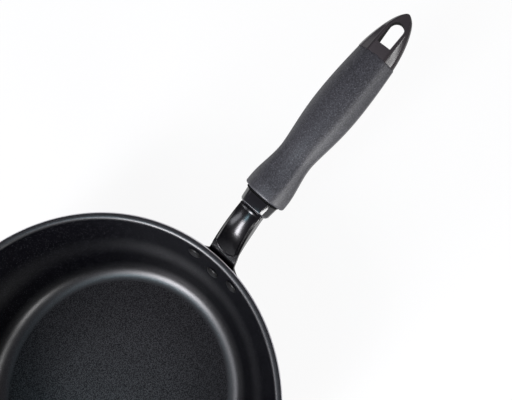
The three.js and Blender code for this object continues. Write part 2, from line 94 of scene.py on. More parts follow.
SCREW_AT, SCREW_RADIUS, SCREW_HEAD, SCREW_SEAT, WELL_DEPTH = 12, 2, 3.7, -7, 12

# Steps of the meshes, round and along.
PAN_SIDES, PLATE_SIDES, RIVET_SIDES, WALL_ROWS, LIP_ROWS = 240, 192, 48, 18, 14
TOP_COLUMNS, UNDER_COLUMNS, FLANGE_ROWS, STRAP_ROWS, ARM_ROWS = 96, 48, 44, 14, 180
GRIP_COLUMNS, GRIP_ROWS, CORE_COLUMNS, TIP_ROWS = 144, 70, 120, 56


def lerp(a, b, share):
    return a + (b - a) * share


def mixed(a, b, share):
    return tuple(lerp(p, q, share) for p, q in zip(a, b))


def smooth(low, high, value):
    share = min(1, max(0, (value - low) / (high - low)))
    return share * share * (3 - 2 * share)


def signed_power(value, power):
    return math.copysign(abs(value) ** power, value)


def shares(steps):
    """Even steps from 0 to 1."""
    return [i / steps for i in range(steps + 1)]


def quarter(steps):
    """Even steps through a quarter turn."""
    return [share * math.pi / 2 for share in shares(steps)]


def around(centre, radius, angle):
    return centre[0] + radius * math.cos(angle), centre[1] + radius * math.sin(angle)


def arc(centre, radius, start, end, steps):
    return [around(centre, radius, lerp(start, end, share)) for share in shares(steps)]


def curve(points, share):
    """Point on a curve drawn by its control points."""
    while len(points) > 1:
        points = [Vector(a).lerp(Vector(b), share) for a, b in zip(points, points[1:])]
    return points[0]


# Pan wall: a shallow curl between the floor's corner and the bend of the lip.
CORNER = (FLOOR_RADIUS, FLOOR_TOP + CORNER_RADIUS)
BEND = (RIM_RADIUS - LIP_FLAT, RIM_TOP - LIP_BEND)

LEAN = 0
for _ in range(30):
    FOOT = around(CORNER, CORNER_RADIUS, -LEAN - WALL_CURL)
    HEAD = around(BEND, LIP_BEND, math.pi - LEAN + WALL_CURL)
    LEAN = math.atan2(HEAD[0] - FOOT[0], HEAD[1] - FOOT[1])
BOW = math.dist(FOOT, HEAD) / 2 * math.tan(WALL_CURL)
MIDDLE = around(mixed(FOOT, HEAD, 0.5), BOW, -LEAN)


def wall(share):
    """Point of the cooking surface and its upward direction, as angle above level."""
    lower, upper = mixed(FOOT, MIDDLE, share), mixed(MIDDLE, HEAD, share)
    return mixed(lower, upper, share), math.atan2(upper[1] - lower[1], upper[0] - lower[0])


def wall_point(share, out):
    point, angle = wall(share)
    return around(point, out, angle - math.pi / 2)


def wall_share(height):
    low, high = 0, 1
    for _ in range(40):
        middle = (low + high) / 2
        low, high = (middle, high) if wall(middle)[0][1] < height else (low, middle)
    return low


# Mesh helpers
def as_mesh(name, bm):
    mesh = bpy.data.meshes.new(name)
    bm.to_mesh(mesh)
    bm.free()
    return mesh


def shown(name, data):
    """A new object in the scene."""
    made = bpy.data.objects.new(name, data)
    bpy.context.scene.collection.objects.link(made)
    return made


def finished(name, bm, finishes, nodes, sharp=35):
    """A piece with its finishes, and edges that stay sharp above an angle in degrees."""
    mesh = as_mesh(name, bm)
    mesh.shade_smooth()
    mesh.set_sharp_from_angle(angle=math.radians(sharp))
    for finish in finishes:
        mesh.materials.append(finish)
    piece = shown(name, mesh)
    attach(piece, "root")
    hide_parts(*nodes)


def spun(profile, steps):
    """A body of revolution about Z from radius and height in millimetres."""
    bm = bmesh.new()
    verts = [bm.verts.new((r * MM, 0, z * MM)) for r, z in profile]
    edges = [bm.edges.new(pair) for pair in zip(verts, verts[1:])]
    bmesh.ops.spin(
        bm, geom=verts + edges, cent=(0, 0, 0), axis=(0, 0, 1), angle=math.tau,
        steps=steps, use_merge=True,
    )
    bmesh.ops.remove_doubles(bm, verts=bm.verts, dist=1e-6)
    bmesh.ops.recalc_face_normals(bm, faces=bm.faces)
    return bm


def skin(rows, columns, place):
    """A grid whose points are moved to place(row, share round), closed and with its ends filled."""
    bm = bmesh.new()
    last = len(rows) - 1
    bmesh.ops.create_grid(bm, x_segments=columns, y_segments=last, size=0.5)
    for vert in bm.verts:
        vert.co = place(rows[round((vert.co.y + 0.5) * last)], vert.co.x + 0.5)
    bmesh.ops.remove_doubles(bm, verts=bm.verts, dist=1e-6)
    bmesh.ops.holes_fill(bm, edges=[e for e in bm.edges if e.is_boundary], sides=0)
    bmesh.ops.recalc_face_normals(bm, faces=bm.faces)
    return bm


def carved(bm, *cutters):
    """The body less its cutters."""
    made = [shown("carving", as_mesh("carving", shape)) for shape in (bm, *cutters)]
    for cutter in made[1:]:
        cut = made[0].modifiers.new("cut", "BOOLEAN")
        cut.operation = "DIFFERENCE"
        cut.solver = "EXACT"
        cut.object = cutter
    bpy.context.view_layer.update()
    result = bmesh.new()
    result.from_object(made[0], bpy.context.evaluated_depsgraph_get())
    for shape in made:
        bpy.data.meshes.remove(shape.data)
    bmesh.ops.remove_doubles(result, verts=result.verts, dist=2e-6)
    bmesh.ops.dissolve_degenerate(result, edges=result.edges, dist=1e-6)
    bmesh.ops.recalc_face_normals(result, faces=result.faces)
    return result


def rounded(bm, edges, width, segments):
    """Rounds edges and gives the new faces."""
    return bmesh.ops.bevel(
        bm, geom=edges, offset=width * MM, offset_type="OFFSET", segments=segments, profile=0.5,
        affect="EDGES", material=-1, clamp_overlap=True,
    )["faces"]


HANDLE_FRAME = Matrix.Translation(HANDLE_PLACE * MM) @ Matrix.Rotation(-HANDLE_TILT, 4, "Y")
OFF_HANDLE = HANDLE_FRAME.inverted()


def on_handle(x, y, z):
    """Place in the scene from millimetres along, across and above the handle's axis."""
    return HANDLE_FRAME @ (Vector((x, y, z)) * MM)


# Shader helpers
class Value:
    """A socket of a node tree. Arithmetic on it adds Math nodes."""

    def __init__(self, nodes, socket):
        self.nodes = nodes
        self.socket = socket

    def worked(self, operation, first, second):
        sockets = {0: first, 1: second}
        return self.nodes.node("ShaderNodeMath", {"operation": operation}, sockets)

    def __add__(self, other):
        return self.worked("ADD", self, other)

    def __sub__(self, other):
        return self.worked("SUBTRACT", self, other)

    def __rsub__(self, other):
        return self.worked("SUBTRACT", other, self)

    def __mul__(self, other):
        return self.worked("MULTIPLY", self, other)

    def __pow__(self, other):
        return self.worked("POWER", self, other)

    __radd__ = __add__
    __rmul__ = __mul__

    def between(self, low, high):
        """0 below low, 1 above high."""
        settings = {"interpolation_type": "SMOOTHSTEP"}
        sockets = {0: self, 1: low, 2: high, 3: 0.0, 4: 1.0}
        return self.nodes.node("ShaderNodeMapRange", settings, sockets)


class Nodes:
    """A node tree whose nodes are made one by one."""

    def __init__(self, tree):
        self.tree = tree

    def feed(self, socket, value):
        if isinstance(value, Value):
            self.tree.links.new(value.socket, socket)
        else:
            socket.default_value = value

    def node(self, kind, settings, sockets, output=0):
        node = self.tree.nodes.new(kind)
        for name, value in settings.items():
            setattr(node, name, value)
        for key, value in sockets.items():
            self.feed(node.inputs[key], value)
        return Value(self, node.outputs[output])

    def mix(self, share, first, second):
        sockets = {"Factor": share, 6: first, 7: second}
        return self.node("ShaderNodeMix", {"data_type": "RGBA"}, sockets, 2)


class Finish(Nodes):
    """A material, with the inputs of its shader that are the same all over."""

    def __init__(self, name, **sockets):
        self.material = bpy.data.materials.new(name)
        self.material.use_nodes = True
        super().__init__(self.material.node_tree)
        self.surface = self.tree.nodes["Principled BSDF"]
        self.place = self.node("ShaderNodeTexCoord", {}, {}, "Object")
        for socket, value in sockets.items():
            self.set(socket.replace("_", " "), value)

    def set(self, socket, value):
        self.feed(self.surface.inputs[socket], value)

    def noise(self, size, detail=2.0, rough=0.5):
        """Soft noise from 0 to 1 with a grain size in millimetres."""
        sockets = {"Scale": 1 / (size * MM), "Detail": detail, "Roughness": rough}
        return self.node("ShaderNodeTexNoise", {}, {"Vector": self.place, **sockets})

    def specks(self, size, low, high):
        """Scattered round specks, with their share set by the limits."""
        sockets = {"Vector": self.place, "Scale": 1 / (size * MM)}
        return 1.0 - self.node("ShaderNodeTexVoronoi", {}, sockets, "Distance").between(low, high)

    def bump(self, height, depth, strength):
        """Height from 0 to 1 over a depth in millimetres."""
        sockets = {"Strength": strength, "Distance": depth * MM, "Height": height}
        self.set("Normal", self.node("ShaderNodeBump", {}, sockets))

    def radius(self):
        """Distance from the pan's axis, and height, in metres."""
        x, y, z = (self.node("ShaderNodeSeparateXYZ", {}, {0: self.place}, axis) for axis in "XYZ")
        return (x * x + y * y) ** 0.5, z


def paint(red, green, blue):
    return red, green, blue, 1.0


def grey(value, blue=1.0):
    return paint(value, value, value * blue)


WHITE, BARE_METAL = paint(1.0, 1.0, 1.0), paint(0.92, 0.92, 0.91)

# Turning marks in radians a metre, which is a ring every 0.7 mm.
TURNING_RATE = 9000.0

# Where the coating changes, and where its painted shade and painted sheen fall, in metres from the
# pan's axis or above its base.
FLOOR_PAINTED_SHADE, CORNER_STARTS, CORNER_ENDS = (0.035, 0.088), (0.0893, 0.0912), (0.1005, 0.1065)
PAINTED_SHEEN_STARTS, PAINTED_SHEEN_ENDS, LIP_STARTS = (0.025, 0.039), (0.039, 0.054), (0.0745, 0.076)
BARE_BEYOND, BARE_ABOVE = (0.13292, 0.13302), (0.0762, 0.0764)


def coating_finish():
    """Matt black non-stick coating with fine flecks, worn to bare metal at the edge of the lip,
    with painted shade towards the floor's edge, a painted sheen band up the wall and painted
    highlight strength on the corner and lip.
    """
    f = Finish("speckled_coating", IOR=1.1, Coat_IOR=1.75, Coat_Roughness=0.37)
    coarse, fine, flecks = f.noise(0.75), f.noise(0.45), f.specks(1.3, 0.12, 0.34)
    colour = f.mix(coarse.between(0.3, 0.7), grey(0.0006, 1.5), grey(0.002, 1.5))
    colour = f.mix(flecks * fine.between(0.4, 0.6), colour, grey(0.03, 1.12))
    across, height = f.radius()
    bare = across.between(*BARE_BEYOND) * height.between(*BARE_ABOVE)
    f.set("Base Color", f.mix(bare, colour, BARE_METAL))
    f.set("Metallic", bare)
    f.set("Roughness", 0.36 + 0.12 * fine)
    grain = coarse.between(0.36, 0.64)
    off_floor = across.between(*CORNER_STARTS)
    # The floor's coat weight falls off towards its edge: painted shade.
    floor_with_painted_shade = (1.0 - off_floor) * (1.0 - 0.34 * across.between(*FLOOR_PAINTED_SHADE))
    corner = off_floor * (1.0 - across.between(*CORNER_ENDS))
    lip = height.between(*LIP_STARTS)
    # A band of extra coat weight up the wall: painted sheen.
    painted_sheen = height.between(*PAINTED_SHEEN_STARTS) * (1.0 - height.between(*PAINTED_SHEEN_ENDS))
    # The corner's and lip's coat weights are set to the strength of the highlights that fall there:
    # painted highlight.
    painted_highlight_parts = (0.78 * corner + 0.62 * lip) * (0.76 + 0.24 * grain)
    f.set("Coat Weight", floor_with_painted_shade * (0.22 + 0.84 * grain) + painted_highlight_parts + painted_sheen * (0.28 + 0.16 * grain))
    f.bump(fine + 0.6 * coarse, 0.012, 0.6)
    return f.material


def outside_finish():
    """Satin black outside of the pan."""
    f = Finish("satin_black_outside", IOR=1.5)
    peel, fine = f.noise(2.2, 1.0), f.noise(0.5)
    f.set("Base Color", f.mix(fine, grey(0.010), grey(0.016)))
    f.set("Roughness", 0.28 + 0.12 * fine)
    f.bump(peel + 0.3 * fine, 0.03, 0.5)
    return f.material


def rivet_finish():
    """Black coating over rivet metal, in two close tones."""
    f = Finish("coated_rivet", IOR=1.22)
    fine = f.noise(0.4)
    f.set("Base Color", f.mix(fine.between(0.4, 0.75), grey(0.004), grey(0.01)))
    f.set("Roughness", 0.26 + 0.14 * fine)
    f.bump(fine, 0.03, 0.5)
    return f.material


def enamel_finish():
    """Gloss black enamel with a faint orange peel."""
    f = Finish("gloss_black_enamel", IOR=1.38)
    peel, dust = f.noise(3.5, 1.0), f.noise(0.6)
    deep, pale = paint(0.0004, 0.0003, 0.0005), paint(0.0014, 0.0012, 0.0018)
    f.set("Base Color", f.mix(dust.between(0.4, 0.8), deep, pale))
    f.set("Roughness", 0.19 + 0.06 * dust)
    f.bump(peel, 0.012, 0.4)
    return f.material


def plastic_finish(name, deep, pale, rough):
    """Polished moulded plastic with faint flow marks."""
    f = Finish(name, IOR=1.5)
    flow, dust = f.noise(6.0), f.noise(0.5)
    f.set("Base Color", f.mix(flow * 0.6 + dust * 0.4, deep, pale))
    f.set("Roughness", rough + 0.08 * dust)
    f.bump(flow + 0.05 * dust, 0.012, 0.4)
    return f.material


def core_painted_shade_finish():
    """Dark, dull plastic at the front rim of the core and inside the hanging hole: painted shade in
    the gap before the grip and in the hole.
    """
    f = Finish("core_plastic_painted_shade", IOR=1.12)
    grain = f.noise(0.4)
    f.set("Base Color", f.mix(grain, grey(0.0015), grey(0.004)))
    f.set("Roughness", 0.6 + 0.2 * grain)
    f.bump(grain, 0.03, 0.5)
    return f.material


def rubber_finish():
    """Dark grey soft-touch rubber with a fine sandy grain and pale flecks."""
    f = Finish("grained_soft_rubber", IOR=1.5)
    coarse, fine, flecks = f.noise(0.85, 3.0, 0.6), f.noise(0.5), f.specks(0.8, 0.12, 0.34)
    colour = f.mix(coarse.between(0.36, 0.64), grey(0.009, 1.2), grey(0.033, 1.16))
    colour = f.mix(flecks * coarse.between(0.4, 0.62), colour, grey(0.11, 1.08))
    f.set("Base Color", colour)
    f.set("Roughness", 0.37 + 0.18 * fine)
    f.bump(fine + 0.8 * coarse, 0.1, 0.8)
    return f.material


def turned_steel_finish():
    """Stainless disc with the fine rings left by turning."""
    f = Finish("turned_steel", Metallic=1.0)
    across, _ = f.radius()
    rings = f.node("ShaderNodeMath", {"operation": "SINE"}, {0: across * TURNING_RATE})
    drift, fine = f.noise(9.0), f.noise(0.35)
    f.set("Base Color", f.mix(drift, grey(0.5, 0.97), grey(0.64, 0.97)))
    f.set("Roughness", 0.24 + 0.1 * drift + 0.08 * fine)
    f.bump(rings * 0.35 + fine, 0.012, 0.7)
    return f.material


def zinc_finish():
    """Zinc plating with a faint grain."""
    f = Finish("zinc_plate", Metallic=1.0)
    grain, fine = f.noise(1.2, 3.0), f.noise(0.25)
    f.set("Base Color", f.mix(grain, grey(0.45, 1.03), grey(0.68)))
    f.set("Roughness", 0.25 + 0.15 * grain)
    f.bump(fine, 0.01, 0.5)
    return f.material


COATING = coating_finish()
OUTSIDE = outside_finish()
RIVET_COAT = rivet_finish()
ENAMEL = enamel_finish()
GUARD_PLASTIC = plastic_finish(
    "polished_guard_plastic", paint(0.0025, 0.0024, 0.003), paint(0.006, 0.0058, 0.0072), 0.12
)
# A lighter, rougher plastic on the guard's rounded front edges: a painted highlight along that
# edge.
PAINTED_EDGE_HIGHLIGHT = plastic_finish(
    "guard_edge_painted_highlight", paint(0.012, 0.012, 0.014), paint(0.03, 0.03, 0.034), 0.36
)
CORE_PLASTIC = plastic_finish(
    "polished_core_plastic", paint(0.014, 0.012, 0.0125), paint(0.024, 0.020, 0.021), 0.14
)
CORE_PAINTED_SHADE = core_painted_shade_finish()
RUBBER = rubber_finish()
TURNED_STEEL = turned_steel_finish()
ZINC = zinc_finish()


# Pan and base plate
def pan_profile():
    """Radius and height from the floor's middle over the lip to the middle of the underside."""
    up, down = math.pi / 2, -math.pi / 2
    wall_foot = -LEAN - WALL_CURL
    steps = shares(WALL_ROWS)[1:-1]
    inside = [(ring, FLOOR_TOP) for ring in DISC_RINGS]
    inside += arc(CORNER, CORNER_RADIUS, down, wall_foot, WALL_ROWS)
    inside += [wall_point(share, 0) for share in steps]
    crest = (HEAD[0] + (RIM_TOP - HEAD[1]) / math.tan(wall(1)[1]), RIM_TOP)
    roll = [HEAD, crest, (RIM_RADIUS - LIP_EDGE, RIM_TOP)]
    inside += [tuple(curve(roll, share)) for share in shares(LIP_ROWS)]
    lip = arc((RIM_RADIUS - LIP_EDGE, RIM_TOP - LIP_EDGE), LIP_EDGE, up, 0, 5)[1:]
    under_edge = (RIM_RADIUS - LIP_UNDER_EDGE, RIM_TOP - SHEET + LIP_UNDER_EDGE)
    lip += arc(under_edge, LIP_UNDER_EDGE, 0, down, 3)
    outside = arc(BEND, LIP_BEND - SHEET, up, math.pi - LEAN + WALL_CURL, 4)
    outside += [wall_point(1 - share, SHEET) for share in steps]
    outside += arc(CORNER, CORNER_RADIUS + SHEET, wall_foot, down, WALL_ROWS)
    recess = PLATE_RADIUS + GAP
    under = [(recess, PLATE_PROUD)]
    under += [(ring, PLATE_THICKNESS) for ring in (recess, RECESS_RING, 0)]
    return inside + lip + outside + under


def past_cooking_surface(across, height):
    """Distance from the cooking surface into the sheet."""
    if height > FOOT[1]:
        return across - wall(wall_share(height))[0][0]
    if across > FLOOR_RADIUS:
        return math.dist((across, height), CORNER) - CORNER_RADIUS
    return FLOOR_TOP - height


def pan_body():
    bm = spun(pan_profile(), PAN_SIDES)
    for face in bm.faces:
        middle = face.calc_center_median() / MM
        past = past_cooking_surface(math.hypot(middle.x, middle.y), middle.z)
        face.material_index = int(middle.z < RIM_TOP - SHEET - TOUCH and past > SHEET / 2)
    finished("pan_body_visual", bm, [COATING, OUTSIDE], ["pan_body"])


def base_plate():
    profile = [(ring, 0) for ring in DISC_RINGS]
    profile += arc((PLATE_RADIUS - PLATE_EDGE, PLATE_EDGE), PLATE_EDGE, -math.pi / 2, 0, 3)
    profile += [(PLATE_RADIUS, PLATE_THICKNESS), (0, PLATE_THICKNESS)]
    bm = spun(profile, PLATE_SIDES)
    finished("base_plate_visual", bm, [TURNED_STEEL], ["base_plate"])


# Rivets, by place across the handle's line and height.
RIVETS = {
    "rivet_left": (RIVET_SPREAD / 2, RIVET_TOP),
    "rivet_right": (-RIVET_SPREAD / 2, RIVET_TOP),
    "rivet_lower": (0, RIVET_TOP - RIVET_STEP),
}


def rivet(name):
    y, z = RIVETS[name]
    back, front = -GAP, SHEET + 2 * GAP + BRACKET_SHEET
    head, tail = RIVET_HEAD_HEIGHT - RIVET_HEAD_RIM, RIVET_TAIL_HEIGHT - RIVET_TAIL_RIM
    profile = [
        (RIVET_HEAD * math.sin(angle), back - RIVET_HEAD_RIM - head * math.cos(angle))
        for angle in quarter(12)
    ]
    profile += [(RIVET_HEAD, back), (RIVET_SHANK, back), (RIVET_SHANK, front), (RIVET_TAIL, front)]
    profile += [
        (RIVET_TAIL * math.cos(angle), front + RIVET_TAIL_RIM + tail * math.sin(angle))
        for angle in quarter(8)
    ]
    bm = spun(profile, RIVET_SIDES)
    (radius, _), steep = wall(wall_share(z))
    turn = Matrix.Rotation(math.asin(y / radius), 4, "Z")
    place = Matrix.Translation((radius * MM, 0, z * MM))
    stand = Matrix.Rotation(math.pi - steep, 4, "Y")
    bmesh.ops.transform(bm, matrix=turn @ place @ stand, verts=bm.verts)
    finished(name + "_visual", bm, [RIVET_COAT], [name])


# Bracket: one pressed sheet, from the flange on the wall past the lip into an arm and a tang.
def flange_half(height):
    """Half width of the outline round the three rivets."""
    low, half = RIVET_TOP - RIVET_STEP, RIVET_SPREAD / 2
    length = math.hypot(half, RIVET_STEP)
    across, down = RIVET_STEP / length * FLANGE_MARGIN, half / length * FLANGE_MARGIN
    if height < low - down:
        return math.sqrt(max(0, FLANGE_MARGIN**2 - (height - low) ** 2))
    if height < RIVET_TOP - down:
        return lerp(across, half + across, (height - low + down) / RIVET_STEP)
    return half + math.sqrt(max(0, FLANGE_MARGIN**2 - (height - RIVET_TOP) ** 2))


def curved_rows(start, start_angle, end, end_angle, count):
    """Places, angles and shares along a curve between two directions."""
    reach, step = 0.36 * math.dist(start, end), 1e-3
    guides = [around(start, reach, start_angle), around(end, reach, end_angle + math.pi)]
    points = [start, *guides, end]
    rows = []
    for share in shares(count):
        ahead = curve(points, min(1, share + step)) - curve(points, max(0, share - step))
        rows.append((*curve(points, share), math.atan2(ahead.y, ahead.x), share))
    return rows


def crown_line(half, depth, trim, columns):
    """Points at even steps along a crowned top with two legs, less its trimmed ends."""
    sag = CROWN_SAG * depth
    leg = depth - sag
    corner = CROWN_CORNER * leg
    crown = [lerp(0, half - corner, share) for share in shares(40)]
    right = [(y, -sag * (y / half) ** 2) for y in crown]
    bend = [right[-1], (half, -sag), (half + LEG_SPLAY * corner, -sag - corner)]
    right += [tuple(curve(bend, share)) for share in shares(10)[1:]]
    right.append((half + LEG_SPLAY * leg, -depth))
    fine = [(-y, z) for y, z in reversed(right[1:])] + right
    run = [0]
    for a, b in zip(fine, fine[1:]):
        run.append(run[-1] + math.dist(a, b))
    line, at = [], 0
    for share in shares(columns):
        goal = lerp(trim, run[-1] - trim, share)
        while at < len(fine) - 2 and run[at + 1] < goal:
            at += 1
        part = (goal - run[at]) / max(1e-9, run[at + 1] - run[at])
        line.append(mixed(fine[at], fine[at + 1], min(1, part)))
    return line


def sheet_section(half, depth):
    """Points round the bracket's sheet: its top, one edge, its underside and the other edge."""
    trim = min(EDGE_ROUND, 0.3 * half)
    leg = depth * (1 - CROWN_SAG)
    fold = math.pi / 2 * smooth(0, 2 * BRACKET_SHEET, leg)
    end = (half + LEG_SPLAY * leg, -depth)
    under_end = around(end, -BRACKET_SHEET, math.pi / 2 - fold)
    under_depth = -under_end[1] - BRACKET_SHEET
    under_half = under_end[0] - LEG_SPLAY * under_depth * (1 - CROWN_SAG)
    top = crown_line(half, depth, trim, TOP_COLUMNS)
    under = crown_line(under_half, under_depth, trim, UNDER_COLUMNS)
    under = [(y, z - BRACKET_SHEET) for y, z in under]
    near, far = (mixed(end, under_end, part * EDGE_ROUND / BRACKET_SHEET) for part in (1, 3))
    edge = [tuple(curve([top[-1], end, near], share)) for share in shares(4)[1:]]
    edge += [tuple(curve([far, under_end, under[-1]], share)) for share in shares(4)[:-1]]
    return top + edge + under[::-1] + [(-y, z) for y, z in reversed(edge)]


def bracket_row(x, z, angle, half, depth=0, wrap=0):
    """A row across the bracket. Wrap is how far it follows the round of the pan."""
    section = sheet_section(half, depth)
    return {"x": x, "z": z, "angle": angle, "half": half, "wrap": wrap, "section": section}


def collar(left):
    """Height of the low step in front of the handle, from the length of arm left."""
    return COLLAR_HEIGHT * (1 - smooth(*COLLAR_LENGTH, left))


def bracket_rows():
    rows = []
    low = RIVET_TOP - RIVET_STEP - FLANGE_MARGIN + FLANGE_START
    for share in shares(FLANGE_ROWS):
        height = lerp(low, RIVET_TOP + FLANGE_RISE, share)
        up = wall_share(height)
        place, angle = wall_point(up, SHEET + GAP), wall(up)[1]
        rows.append(bracket_row(*place, angle, flange_half(height), wrap=1))
    past_lip = (RIM_RADIUS + LIP_CLEARANCE, RIM_TOP - SHEET - LIP_CLEARANCE)
    for x, z, turn, share in curved_rows(place, angle, past_lip, STRAP_ANGLE, STRAP_ROWS)[1:-1]:
        wing = flange_half(RIVET_TOP + lerp(FLANGE_RISE, WING_RISE, share))
        half = lerp(wing, STRAP_WIDTH / 2, smooth(0.05, 1, share))
        rows.append(bracket_row(x, z, turn, half, wrap=1 - share))
    meet = on_handle(-GUARD_LENGTH - GAP, 0, ARM_TOP).xz / MM
    for x, z, turn, share in curved_rows(past_lip, STRAP_ANGLE, meet, HANDLE_TILT, ARM_ROWS):
        half = lerp(ARM_WIDTH, STRAP_WIDTH, (1 - share) ** 1.5) / 2
        depth = ARM_DEPTH * smooth(0.05, 0.8, share)
        place = around((x, z), collar(math.dist((x, z), meet)), turn + math.pi / 2)
        rows.append(bracket_row(*place, turn, half, depth))
    for along in (-GUARD_LENGTH + GAP, 0, TANG_LENGTH):
        place = on_handle(along, 0, TANG_TOP).xz / MM
        rows.append(bracket_row(*place, HANDLE_TILT, TANG_HALF, TANG_DEPTH))
    return rows


def crown_end(x, y, half):
    """Height of the pressed crown, which ends in a round nose with a bead above the lip."""
    side = min(1, abs(y) / (NOSE_WIDTH * half))
    behind = x - NOSE_AT - NOSE_LENGTH * (1 - math.sqrt(1 - side * side))
    rise = CROWN_RISE * smooth(0, CROWN_RAMP, behind)
    bead = BEAD_DROP * smooth(CROWN_RAMP, BEAD_END, behind)
    return (rise - bead) * (1 - smooth(0.8, 1, side)) * (1 - smooth(*CROWN_FADE, x))


def handle_bracket():
    rows = bracket_rows()
    columns = len(rows[0]["section"])

    def place(row, share):
        y, rise = row["section"][round(share * columns) % columns]
        if not row["wrap"]:
            rise += crown_end(row["x"], y, row["half"])
        x, z = around((row["x"], row["z"]), rise, row["angle"] + math.pi / 2)
        bent = Vector((x * math.cos(y / row["x"]), x * math.sin(y / row["x"]), z))
        return Vector((x, y, z)).lerp(bent, row["wrap"]) * MM

    bm = skin(rows, columns, place)
    finished("handle_bracket_visual", bm, [ENAMEL], ["handle_bracket"], sharp=60)


# Handle
def waved(a, b, share):
    """Between two sections, level at both."""
    return mixed(a, b, (1 - math.cos(math.pi * share)) / 2)


def grip_size(x):
    """Section of the grip at a length."""
    if x < FRONT_FLAT:
        return FRONT
    if x < WAIST_AT:
        return waved(FRONT, WAIST, (x - FRONT_FLAT) / (WAIST_AT - FRONT_FLAT))
    if x < BELLY_AT:
        return waved(WAIST, BELLY, ((x - WAIST_AT) / (BELLY_AT - WAIST_AT)) ** 0.75)
    share = min(1, (x - BELLY_AT) / (GRIP_LENGTH - BELLY_AT))
    return mixed(BELLY, REAR, 1 - math.cos(math.pi / 2 * share))


def grown(size, by):
    return tuple(value + by for value in size)


def oval(size, power, share):
    """Point round an oval with fuller corners than an ellipse, from a share of the way round."""
    half, top, bottom = size
    c, s = math.cos(math.tau * share), math.sin(math.tau * share)
    y, z = signed_power(c, 2 / power), signed_power(s, 2 / power)
    return half * y, z * (top if s > 0 else bottom)


def shoulder(top, half, y):
    """Height of the sloping flank beside the soft ridge."""
    beyond = abs(y) - RIDGE_HALF * half
    return top - RIDGE_DROP - FLANK_SLOPE * beyond - FLANK_BEND * max(0, beyond) ** 2


def soft_least(a, b, reach):
    """The lesser of two heights, rounded where they meet."""
    share = max(0, 1 - abs(a - b) / reach)
    return min(a, b) - share * share * reach / 4


def thumb_rest(x, y):
    """Share of the depth of the shallow hollow on top behind the front edge."""
    along = smooth(*THUMB_START, x) * (1 - smooth(*THUMB_END, x))
    return along * (1 - smooth(*THUMB_SIDE, abs(y)))


def grip_point(x, size, rest, share):
    """Point round the grip, or round a smaller size within, with a thumb rest of some depth."""
    y, z = oval(size, GRIP_FULLNESS + FULLER_REAR * x / GRIP_LENGTH, share)
    if z > 0:
        flank = shoulder(size[1], size[0], y)
        z = max(0.1 * z, soft_least(z, flank, RIDGE_SOFTNESS)) - rest * thumb_rest(x, y)
    return on_handle(x, y, z)


def soft_grip():
    """A sleeve, from its rounded front edge over the outside and rear end back along its lining."""
    lining = GRIP_WALL - GRIP_LAP
    rows = [(0, grown(FRONT, -lining), 0)]
    for angle in quarter(6):
        inset = GRIP_EDGE * (1 - math.sin(angle))
        rows.append((GRIP_EDGE * (1 - math.cos(angle)), grown(FRONT, -inset), 0))
    for share in shares(GRIP_ROWS):
        x = lerp(GRIP_EDGE + EDGE_STEP, GRIP_LENGTH - GRIP_END, share)
        rows.append((x, grip_size(x), THUMB_DEPTH))
    for angle in quarter(6)[1:4]:
        inset = GRIP_END * (1 - math.cos(angle))
        rows.append((GRIP_LENGTH - GRIP_END * (1 - math.sin(angle)), grown(REAR, -inset), 0))
    for back, inset in GRIP_REAR:
        rows.append((GRIP_LENGTH - back, grown(REAR, -inset), 0))
    rows += [(x, grown(grip_size(x), -lining), 0) for x in reversed(CORE_STEPS)]
    sleeve = skin(rows, GRIP_COLUMNS, lambda row, share: grip_point(*row, share))
    bm = carved(sleeve, screw_well())
    finished("soft_grip_visual", bm, [RUBBER], ["soft_grip"], sharp=40)


def screw_hole(radius, low, high):
    """Round cutter on the screw's axis, between two heights."""
    bm = bmesh.new()
    bmesh.ops.create_cone(
        bm, cap_ends=True, segments=48, radius1=radius * MM, radius2=radius * MM,
        depth=(high - low) * MM,
    )
    middle = Matrix.Translation(Vector((SCREW_AT, 0, (low + high) / 2)) * MM)
    bmesh.ops.transform(bm, matrix=HANDLE_FRAME @ middle, verts=bm.verts)
    return bm


def screw_well():
    """Round well in the underside, from the screw's seat down."""
    return screw_hole(SCREW_HEAD + GAP, SCREW_SEAT - WELL_DEPTH, SCREW_SEAT)


def tang_socket():
    """Block cutter that leaves room for the tang, from in front of the guard."""
    bm = bmesh.new()
    bmesh.ops.create_cube(bm, size=1)
    low = Vector((-GUARD_LENGTH - 1, -TANG_HALF - GAP, TANG_TOP - TANG_DEPTH - GAP)) * MM
    high = Vector((TANG_LENGTH + GAP, TANG_HALF + GAP, TANG_TOP + GAP)) * MM
    block = Matrix.Translation((low + high) / 2) @ Matrix.Diagonal((*(high - low), 1))
    bmesh.ops.transform(bm, matrix=block, verts=bm.verts)
    upper = [e for e in bm.edges if min(v.co.z for v in e.verts) > 0]
    ridges = [e for e in upper if e.verts[0].co.y * e.verts[1].co.y > 0]
    rounded(bm, ridges, TANG_CORNER, 5)
    bmesh.ops.transform(bm, matrix=HANDLE_FRAME, verts=bm.verts)
    return bm


def shouldered(size, mid, floor_with_painted_shade, share):
    """Point round a level top, sloping shoulders, upright sides and a round underside."""
    half, top, bottom = size
    if share > 0.5:
        angle = math.tau * (share - 0.5)
        y, z = signed_power(math.cos(angle), 0.8), math.sin(angle) ** 0.8
        return -half * y, mid - z * (mid + bottom)
    turn = abs(4 * share - 1)
    flat_end, soft_end, slope_end = 0.25, 0.4, 0.6
    edge = (floor_with_painted_shade, top)
    side = (lerp(floor_with_painted_shade, half, 0.82), lerp(top, mid, 0.62))
    fall = mixed(edge, side, 0.8)
    before, after = mixed((0, top), edge, 0.86), mixed(edge, side, 0.16)
    if turn < flat_end:
        y, z = mixed((0, top), before, turn / flat_end)
    elif turn < soft_end:
        y, z = curve([before, edge, after], (turn - flat_end) / (soft_end - flat_end))
    elif turn < slope_end:
        y, z = mixed(after, fall, (turn - soft_end) / (slope_end - soft_end))
    else:
        y, z = curve([fall, side, (half, mid)], (turn - slope_end) / (1 - slope_end))
    return (y if share < 0.25 else -y), z


